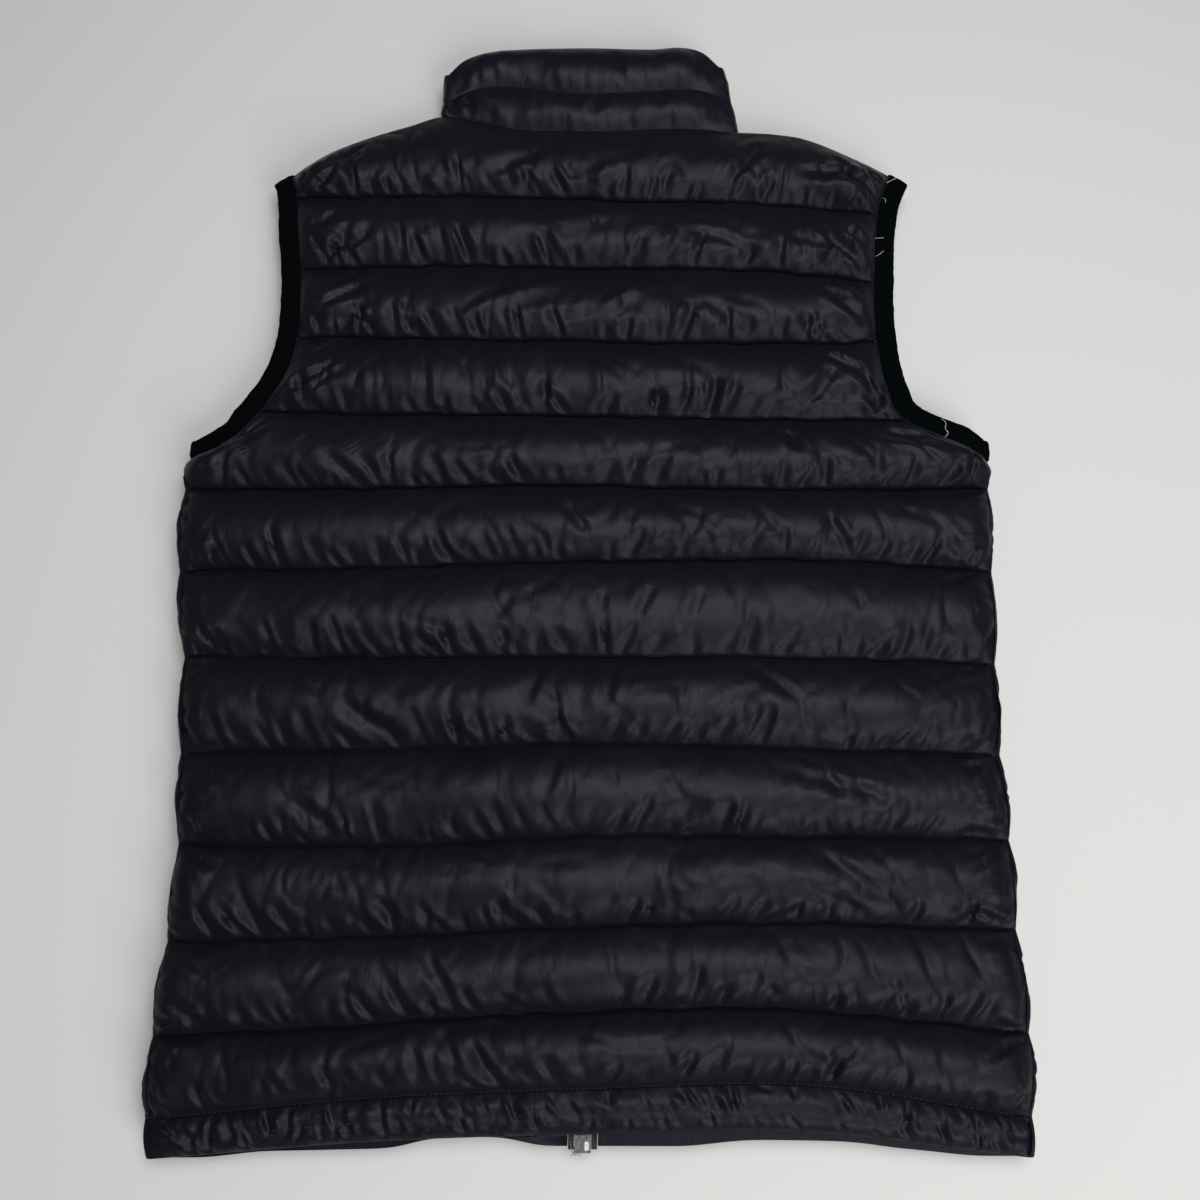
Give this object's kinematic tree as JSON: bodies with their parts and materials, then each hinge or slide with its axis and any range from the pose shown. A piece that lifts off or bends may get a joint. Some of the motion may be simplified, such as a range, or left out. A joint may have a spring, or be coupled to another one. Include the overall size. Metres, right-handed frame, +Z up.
{
  "type": "quilted puffer vest laid flat",
  "caption": "Sleeveless quilted puffer vest with a stand collar and a front zip, zipped up and lying face down with its back up.",
  "frame": {"origin": "centre of the laid-out vest's footprint, on the surface it lies on", "axes": "+X to the right across the back as it lies, +Y from the hem to the collar, +Z up from the surface"},
  "size_m": [0.5108, 0.7074, 0.0379],
  "materials": {
    "shell_cloth": "black nylon taffeta with a soft satin sheen, padded",
    "binding_knit": "matte black elastic knit tape",
    "zip_cloth": "matte black woven tape",
    "zip_metal": "nickel-plated, slightly worn"
  },
  "bodies": {
    "vest": {"back_panel": "shell_cloth", "back_hem": "shell_cloth", "front_left_panel": "shell_cloth", "front_left_hem": "shell_cloth", "front_right_panel": "shell_cloth", "front_right_hem": "shell_cloth", "collar": "shell_cloth", "armhole_binding_left": "binding_knit", "armhole_binding_right": "binding_knit", "zip_tape_left": "zip_cloth", "zip_tape_right": "zip_cloth", "zip_slider": "zip_metal", "zip_box": "zip_metal", "zip_pin": "zip_metal"},
    "pull_tab": {"zip_pull": "zip_metal"}
  },
  "joints": [
    {"name": "pull_tab_hinge", "type": "hinge", "parent": "vest", "child": "pull_tab", "pos_m": [-0.0015, 0.293, 0.009], "axis": [1, 0, 0], "range_deg": [-17, 160]}
  ]
}
